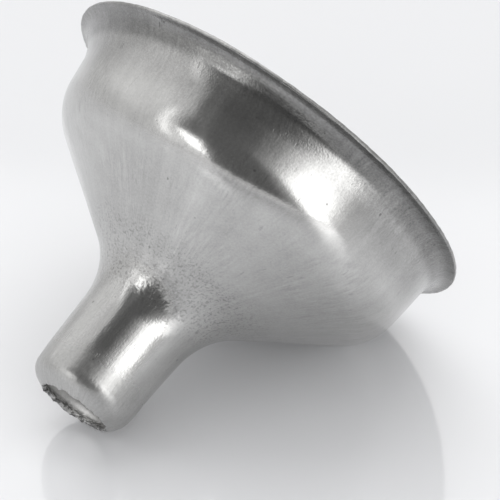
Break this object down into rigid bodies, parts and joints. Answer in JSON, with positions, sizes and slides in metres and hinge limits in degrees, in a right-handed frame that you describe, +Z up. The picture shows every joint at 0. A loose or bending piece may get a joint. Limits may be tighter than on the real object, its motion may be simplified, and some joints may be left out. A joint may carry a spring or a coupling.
{
  "type": "funnel",
  "caption": "Small stainless steel funnel for narrow-necked flasks and bottles: flat brim, shallow bowl, cone and short spout with a turned-in end, lying on its side.",
  "frame": {"origin": "on the surface that the funnel lies on, under the middle of its bounding box", "axes": "+Z up from that surface; +Y across the mouth, parallel to it; the spout points to -X and down, and the mouth faces +X and up, with the funnel's axis in the XZ plane, 31.8 degrees from X"},
  "size_m": [0.0328, 0.036, 0.0319],
  "materials": {
    "steel": "satin-polished stainless steel, with fine drawing lines, a mottled neck and a raw cut edge"
  },
  "bodies": {
    "root": {"funnel": "steel"}
  },
  "joints": []
}
